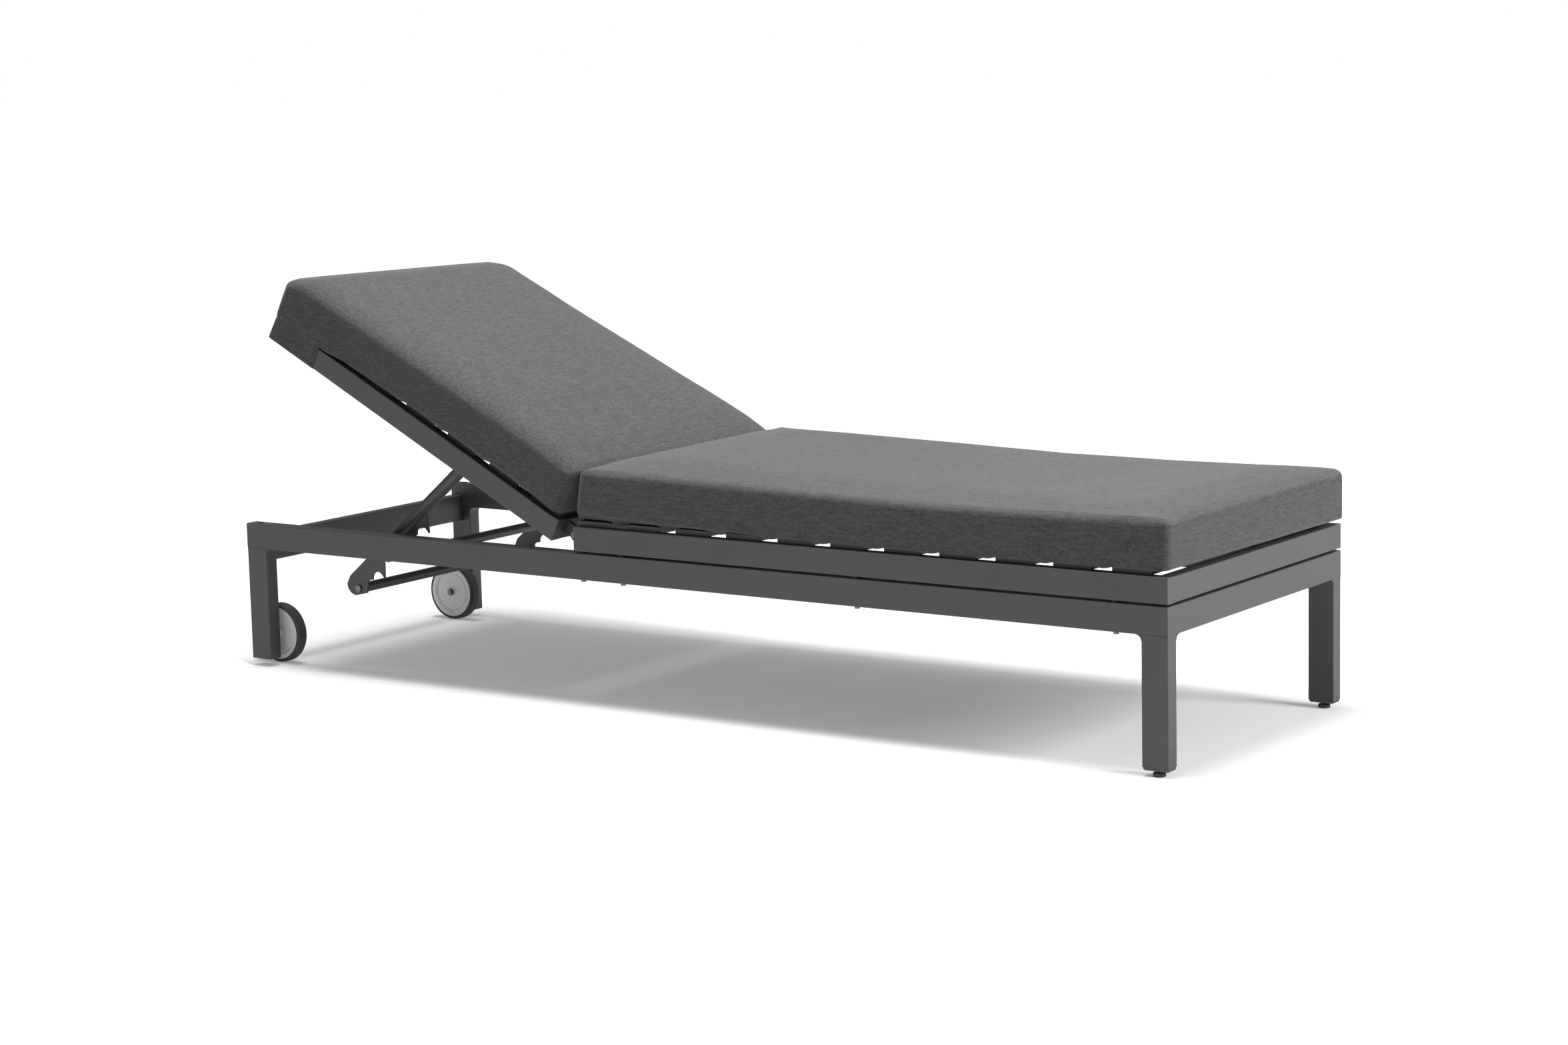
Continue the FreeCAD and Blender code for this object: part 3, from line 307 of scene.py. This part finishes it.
def inflate(piece, spec):
    # the sewn cover swells under the foam's pressure, outward only and held to a few millimetres
    start = [v.co.copy() for v in piece.data.vertices]
    normals = [v.normal.copy() for v in piece.data.vertices]
    cloth = piece.modifiers.new("swell", "CLOTH")
    cloth.settings.use_pressure = True
    cloth.settings.uniform_pressure_force = spec["pressure"]
    cloth.settings.quality = swelling["quality"]
    cloth.settings.tension_stiffness = swelling["stiffness"]
    cloth.settings.compression_stiffness = swelling["stiffness"]
    cloth.settings.effector_weights.gravity = 0
    cloth.collision_settings.use_collision = False
    cloth.point_cache.frame_start = 1
    cloth.point_cache.frame_end = swelling["frames"]
    for number in range(1, swelling["frames"] + 1):
        scene.frame_set(number)
    evaluated = piece.evaluated_get(bpy.context.evaluated_depsgraph_get())
    swollen = [v.co.copy() for v in evaluated.data.vertices]
    piece.modifiers.clear()
    scene.frame_set(1)
    outward = [min(spec["cap"], max(0, (after - before).dot(normal)))
               for before, after, normal in zip(start, swollen, normals)]
    neighbours = [[] for vertex in piece.data.vertices]
    for edge in piece.data.edges:
        one, other = edge.vertices
        neighbours[one].append(other)
        neighbours[other].append(one)
    for turn in range(spec["evenings"]):
        outward = [(own + sum(outward[i] for i in around) / len(around)) / 2
                   for own, around in zip(outward, neighbours)]
    for vertex, before, normal, amount in zip(piece.data.vertices, start, normals, outward):
        if normal.z > swelling["undersideNormal"]:
            vertex.co = before + normal * amount


def smoothStep(low, high, value):
    t = min(1, max(0, (value - low) / (high - low)))
    return t * t * (3 - 2 * t)


def interpolate(points, x):
    # a value on the straight lines between the given (x, value) pairs
    if x <= points[0][0]:
        return points[0][1]
    for (x0, v0), (x1, v1) in zip(points, points[1:]):
        if x <= x1:
            return v0 + (v1 - v0) * (x - x0) / (x1 - x0)
    return points[-1][1]


def bevelEdges(bm, edges, radius, segments):
    bmesh.ops.bevel(bm, geom=edges, offset=radius, affect="EDGES", segments=segments,
                    profile=0.5, material=-1)


def cutAcross(bm, place, normal, reach):
    bmesh.ops.bisect_plane(bm, geom=bm.verts[:] + bm.edges[:] + bm.faces[:], plane_co=place,
                           plane_no=normal, dist=reach)


def roundedBlock(spec):
    # a cube scaled to the pad, its corners rounded, cut into strips both ways for shaping
    bm = bmesh.new()
    bmesh.ops.create_cube(bm, size=1)
    low, high = Vector(spec["low"]), Vector(spec["high"])
    bmesh.ops.scale(bm, vec=high - low, verts=bm.verts)
    bmesh.ops.translate(bm, vec=(low + high) / 2, verts=bm.verts)
    for endX, radius in ((low.x, spec["headCorner"]), (high.x, spec["footCorner"])):
        upright = [e for e in bm.edges
                   if abs((e.verts[0].co - e.verts[1].co).normalized().z) > 0.9
                   and abs(e.verts[0].co.x - endX) < 1e-5]
        bevelEdges(bm, upright, radius, 4)
    for z, radius, segments in ((high.z, spec["topRadius"], 6), (low.z, spec["bottomRadius"], 3)):
        rim = [e for e in bm.edges if all(abs(v.co.z - z) < 1e-5 for v in e.verts)]
        bevelEdges(bm, rim, radius, segments)
    for axis, count in enumerate(spec["cuts"]):
        normal = Vector((0, 0, 0))
        normal[axis] = 1
        for number in range(1, count):
            cutAcross(bm, low + (high - low) * (number / count), normal, 1e-5)
    return bm


def gapShare(spec, x):
    # 0 over a slat, rising to 1 in the middle of the gap beside it
    past = (x - spec["slatStart"]) % spec["slatPitch"] - spec["slatWidth"]
    gap = spec["slatPitch"] - spec["slatWidth"]
    return math.sin(math.pi * past / gap) if past > 0 else 0


# how far from a side or an end each change of shape fades, in metres
fading = {
    "crownFromEnd": (-0.05, 0.10),
    "sagFromSide": (0, 0.012),
    "sagFromEnd": (0.01, 0.05),
    "rimDrop": (0, 0.032),
    "headDrop": (0, 0.055),
    "bowFromEnd": (0, 0.06),
    "bowFromSide": (0, 0.05),
    "head": (0, 0.06),
    "foot": (-0.12, 0),
}


def shapePad(bm, spec):
    # heights of the rims and of the crown along the pad, sides that bow out, lower edges that
    # lift, and an underside that sinks between the slats
    low, high = Vector(spec["low"]), Vector(spec["high"])
    for vertex in bm.verts:
        x, y, z = vertex.co
        share = (z - low.z) / (high.z - low.z)
        sideDistance = min(y - low.y, high.y - y)
        endDistance = min(x - low.x, high.x - x)
        inward = (smoothStep(0, spec["crownReach"], sideDistance)
                  * smoothStep(*fading["crownFromEnd"], endDistance))
        rim = interpolate(spec["rimTop"], x)
        top = rim + (interpolate(spec["crownTop"], x) - rim) * inward
        lift = interpolate(spec["edgeLift"], x)
        lift *= 1 - smoothStep(0, spec["liftReach"], sideDistance)
        sag = (gapShare(spec, x) * smoothStep(*fading["sagFromSide"], sideDistance)
               * smoothStep(*fading["sagFromEnd"], endDistance))
        bottom = low.z + lift - spec["sag"] * sag
        top += interpolate(spec["farRise"], x) * y / high.y
        top -= spec["rimDrop"] * (1 - smoothStep(*fading["rimDrop"], sideDistance))
        top -= spec["headDrop"] * (1 - smoothStep(*fading["headDrop"], x - low.x))
        vertex.co.z = bottom + share * (top - bottom)
        bow = math.sin(math.pi * min(1, max(0, share)))
        bow *= smoothStep(*fading["bowFromEnd"], endDistance)
        bow *= 1 - smoothStep(*fading["bowFromSide"], sideDistance)
        vertex.co.y += math.copysign(spec["sideBow"], y) * bow
        atHead = 1 - smoothStep(*fading["head"], x - low.x)
        vertex.co.x += spec["headLean"] * atHead * share
        vertex.co.x -= spec["headSkew"] * atHead * (1 + y / high.y) / 2
        atFoot = smoothStep(*fading["foot"], x - high.x)
        vertex.co.x += spec["footSkew"] * atFoot * (y / high.y)


def pullCorners(bm, corners):
    # the sewn corners stand out a little as small ears: place, reach and pull of each
    for place, reach, pull in corners:
        for vertex in bm.verts:
            near = max(0, 1 - (vertex.co - Vector(place)).length / reach)
            vertex.co += Vector(pull) * near * near


def makePad(name, spec, material):
    bm = roundedBlock(spec)
    shapePad(bm, spec)
    pullCorners(bm, spec["corners"])
    pad = addPiece(name, bm, material)
    inflate(pad, spec)
    smooth = pad.modifiers.new("smooth", "SUBSURF")
    smooth.levels = smooth.render_levels = 1
    applyModifiers(pad)
    for polygon in pad.data.polygons:
        polygon.use_smooth = True
    return pad


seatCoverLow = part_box("seat_cushion_cover")[0]
firstSlat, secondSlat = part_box("seat_slat_01"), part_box("seat_slat_02")
seatPad = {
    "low": (-0.187, -0.3265, seatCoverLow.z),
    "high": (1.0615, 0.3265, 0.440),
    "headCorner": 0.013,
    "footCorner": 0.014,
    "topRadius": 0.013,
    "bottomRadius": 0.004,
    "cuts": (88, 46),
    "pressure": 4,
    "cap": 0.0035,
    "evenings": 6,
    "rimTop": [(-0.17, 0.447), (0.0, 0.447), (0.28, 0.440), (0.50, 0.434), (0.72, 0.4325),
               (1.02, 0.436), (1.055, 0.434)],
    "crownTop": [(-0.17, 0.457), (-0.05, 0.461), (0.10, 0.457), (0.28, 0.450), (0.50, 0.443),
                 (0.72, 0.4415), (0.95, 0.445), (1.055, 0.441)],
    "crownReach": 0.13,
    "edgeLift": [(-0.18, 0.019), (-0.10, 0.013), (0.065, 0.0065), (0.25, 0.001),
                 (0.45, -0.002), (0.80, -0.002), (1.06, -0.001)],
    "liftReach": 0.020,
    "slatStart": firstSlat[0].x,
    "slatPitch": secondSlat[0].x - firstSlat[0].x,
    "slatWidth": firstSlat[1].x - firstSlat[0].x,
    "sag": 0.0085,
    "sideBow": 0.0015,
    "headLean": 0.016,
    "headSkew": 0.0,
    "footSkew": 0.006,
    "farRise": [(0, 0.003)],
    "rimDrop": 0.0,
    "headDrop": 0.0,
    "corners": [((1.055, -0.324, 0.432), 0.05, (0.002, -0.002, 0.003)),
                ((1.063, 0.324, 0.432), 0.05, (0.0, 0.0, 0.002)),
                ((-0.165, -0.324, 0.445), 0.04, (-0.002, -0.002, 0.003)),
                ((-0.165, 0.324, 0.445), 0.04, (-0.002, 0.002, 0.003))],
}
seatPadPiece = makePad("seatPad", seatPad, finishes["cushion_fabric"])
print("seat pad swollen")

hingePoint = Vector((-0.2065, 0, 0.318))
backTurn = Matrix.Translation(hingePoint) @ Matrix.Rotation(math.radians(backAngle), 4, "Y")
# drawn along the flat backrest, with the hinge as its zero, and then turned up
backPad = {
    "low": (-0.8185, -0.3285, 0.0290),
    "high": (-0.033, 0.3285, 0.113),
    "headCorner": 0.014,
    "footCorner": 0.020,
    "topRadius": 0.014,
    "bottomRadius": 0.004,
    "cuts": (60, 46),
    "pressure": 4,
    "cap": 0.0035,
    "evenings": 6,
    "rimTop": [(-0.806, 0.114), (-0.776, 0.113), (-0.740, 0.112), (-0.665, 0.114),
               (-0.607, 0.115), (-0.511, 0.1175), (-0.416, 0.1205), (-0.276, 0.124),
               (-0.166, 0.1265), (-0.102, 0.127), (-0.04, 0.123)],
    "crownTop": [(-0.806, 0.117), (-0.776, 0.117), (-0.60, 0.120), (-0.416, 0.125), (-0.276, 0.128),
                 (-0.102, 0.129), (-0.04, 0.123)],
    "crownReach": 0.14,
    "edgeLift": [(-0.70, -0.010), (-0.665, -0.010), (-0.62, -0.002), (-0.52, 0.0), (-0.44, 0.005),
                 (-0.30, 0.007), (-0.13, 0.006), (-0.05, -0.003)],
    "liftReach": 0.008,
    "slatStart": -0.796,
    "slatPitch": 0.11383,
    "slatWidth": 0.075,
    "sag": 0.0085,
    "sideBow": 0.0020,
    "headLean": 0.0,
    "headSkew": 0.008,
    "footSkew": 0.0,
    "farRise": [(-0.81, -0.009), (-0.6, -0.008), (-0.3, -0.005), (-0.04, -0.001)],
    "rimDrop": 0.007,
    "headDrop": 0.017,
    "corners": [],
}
backPadPiece = makePad("backPad", backPad, backCloth)
backPadPiece.data.transform(backTurn)
print("back pad swollen")

# sleeve of the back cushion: it slips over the head end of the backrest frame, and its upper rim
# runs on inside the pad's sides
sleeve = {
    "headX": -0.8125,
    "openX": -0.685,
    "halfWidth": 0.3295,
    "lowZ": -0.0261,
    "openRise": 0.0003,
    "stepZ": 0.0160,
    "stepHeight": 0.003,
    "stepIn": 0.008,
    "sinkZ": 0.024,
    "topZ": 0.050,
    "tuckIn": 0.006,
    "tuckCuts": 6,
    "lengthCuts": 9,
    "rimAngle": 1.2,
    "edgeRadius": 0.004,
    "wall": 0.0012,
}


def makeSleeve(spec):
    bm = bmesh.new()
    bmesh.ops.create_cube(bm, size=1)
    low = Vector((spec["headX"], -spec["halfWidth"], spec["lowZ"]))
    high = Vector((spec["openX"], spec["halfWidth"], spec["topZ"]))
    bmesh.ops.scale(bm, vec=high - low, verts=bm.verts)
    bmesh.ops.translate(bm, vec=(low + high) / 2, verts=bm.verts)
    openFaces = [f for f in bm.faces if f.normal.z > 0.9 or f.normal.x > 0.9]
    bmesh.ops.delete(bm, geom=openFaces, context="FACES")
    heights = [spec["stepZ"], spec["stepZ"] + spec["stepHeight"]]
    heights += [spec["sinkZ"] + (spec["topZ"] - spec["sinkZ"]) * number / spec["tuckCuts"]
                for number in range(spec["tuckCuts"])]
    for height in heights:
        cutAcross(bm, (0, 0, height), (0, 0, 1), 1e-6)
    for number in range(1, spec["lengthCuts"]):
        at = low.x + (high.x - low.x) * number / spec["lengthCuts"]
        cutAcross(bm, (at, 0, 0), (1, 0, 0), 1e-6)
    for vertex in bm.verts:
        x, y, z = vertex.co
        along = (x - low.x) / (high.x - low.x)
        sink = spec["tuckIn"] * smoothStep(spec["sinkZ"], spec["topZ"], z)
        if z < spec["lowZ"] + 0.001:
            vertex.co.z += spec["openRise"] * along
        if z > spec["stepZ"] + 0.001 and x < spec["headX"] + 0.001:
            vertex.co.x += spec["stepIn"] + sink
        if abs(y) > spec["halfWidth"] - 0.001:
            vertex.co.y -= math.copysign(sink, y)
    rims = [e for e in bm.edges
            if len(e.link_faces) == 2 and e.calc_face_angle(0) > spec["rimAngle"]]
    bevelEdges(bm, rims, spec["edgeRadius"], 3)
    bmesh.ops.recalc_face_normals(bm, faces=bm.faces)
    bmesh.ops.solidify(bm, geom=bm.faces[:], thickness=spec["wall"])
    piece = addPiece("backSleeve", bm, backCloth)
    piece.data.transform(backTurn)
    for polygon in piece.data.polygons:
        polygon.use_smooth = True
    return piece


sleevePiece = makeSleeve(sleeve)
print("sleeve made")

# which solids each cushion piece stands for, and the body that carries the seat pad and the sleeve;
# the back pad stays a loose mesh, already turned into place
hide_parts("seat_cushion_cover", "seat_cushion_foam")
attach(seatPadPiece, "root")
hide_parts("back_cushion_cover", "back_cushion_foam")
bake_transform(backPadPiece)
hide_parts("back_cushion_hood")
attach(sleevePiece, "backrest")

# studio; the floor's glow is by distance from the middle, in metres
studio = {
    "floorSize": 40,
    "floorColour": "#e6e6e6",
    "worldLight": 0.26,
    "nearGlow": 0.225,
    "farGlow": 1.0,
    "glowStart": 1.5,
    "glowEnd": 3.2,
    "overhead": {"place": (-0.15, -0.3, 4.2), "target": (0, 0, 0.3), "size": (2.8, 0.9),
                 "power": 242},
    "footBox": {"place": (4.1, 0.3, 2.1), "target": (0.8, 0, 0.35), "size": (1.4, 1.4),
                "power": 128},
}


# a pale floor whose distant part glows for the camera, as a backdrop lit from behind does
def makeFloor(spec):
    bm = bmesh.new()
    bmesh.ops.create_grid(bm, x_segments=1, y_segments=1, size=spec["floorSize"])
    material, tree, shader = newMaterial(
        "paintedFloor", {"Roughness": 0.9, "Specular IOR Level": 0.0,
                         "Base Color": linearColour(spec["floorColour"])})
    place = addNode(tree, "ShaderNodeTexCoord")
    distance = addNode(tree, "ShaderNodeVectorMath", {"operation": "LENGTH"},
                       links={"Vector": place.outputs["Object"]})
    glow = addNode(tree, "ShaderNodeMapRange", {"interpolation_type": "SMOOTHSTEP"},
                   {"From Min": spec["glowStart"], "From Max": spec["glowEnd"],
                    "To Min": spec["nearGlow"], "To Max": spec["farGlow"]},
                   {"Value": distance.outputs["Value"]})
    rays = addNode(tree, "ShaderNodeLightPath")
    seen = addNode(tree, "ShaderNodeMath", {"operation": "MAXIMUM"},
                   links={0: rays.outputs["Is Camera Ray"], 1: rays.outputs["Is Glossy Ray"]})
    strength = addNode(tree, "ShaderNodeMath", {"operation": "MULTIPLY"},
                       links={0: seen.outputs[0], 1: glow.outputs[0]})
    shader.inputs["Emission Color"].default_value = (1, 1, 1, 1)
    tree.links.new(strength.outputs[0], shader.inputs["Emission Strength"])
    addPiece("floor", bm, material)


def makeWorld(spec):
    world = bpy.data.worlds.new("studioWorld")
    scene.world = world
    world.use_nodes = True
    tree = world.node_tree
    tree.nodes.clear()
    rays = addNode(tree, "ShaderNodeLightPath")
    seen = addNode(tree, "ShaderNodeMath", {"operation": "MAXIMUM"},
                   links={0: rays.outputs["Is Camera Ray"], 1: rays.outputs["Is Transmission Ray"]})
    strength = addNode(tree, "ShaderNodeMapRange",
                       inputs={"To Min": spec["worldLight"], "To Max": 1.0},
                       links={"Value": seen.outputs[0]})
    background = addNode(tree, "ShaderNodeBackground", inputs={"Color": (1, 1, 1, 1)},
                         links={"Strength": strength.outputs[0]})
    output = addNode(tree, "ShaderNodeOutputWorld")
    tree.links.new(background.outputs[0], output.inputs[0])


def makeLight(name, spec):
    lightData = bpy.data.lights.new(name, "AREA")
    lightData.shape = "RECTANGLE"
    lightData.size, lightData.size_y = spec["size"]
    lightData.energy = spec["power"]
    light = bpy.data.objects.new(name, lightData)
    light.location = spec["place"]
    aim = Vector(spec["target"]) - Vector(spec["place"])
    light.rotation_euler = aim.to_track_quat("-Z", "Y").to_euler()
    scene.collection.objects.link(light)


makeFloor(studio)
makeWorld(studio)
makeLight("overheadBox", studio["overhead"])
makeLight("footBox", studio["footBox"])
scene.view_settings.view_transform = "Standard"
print("studio lit")
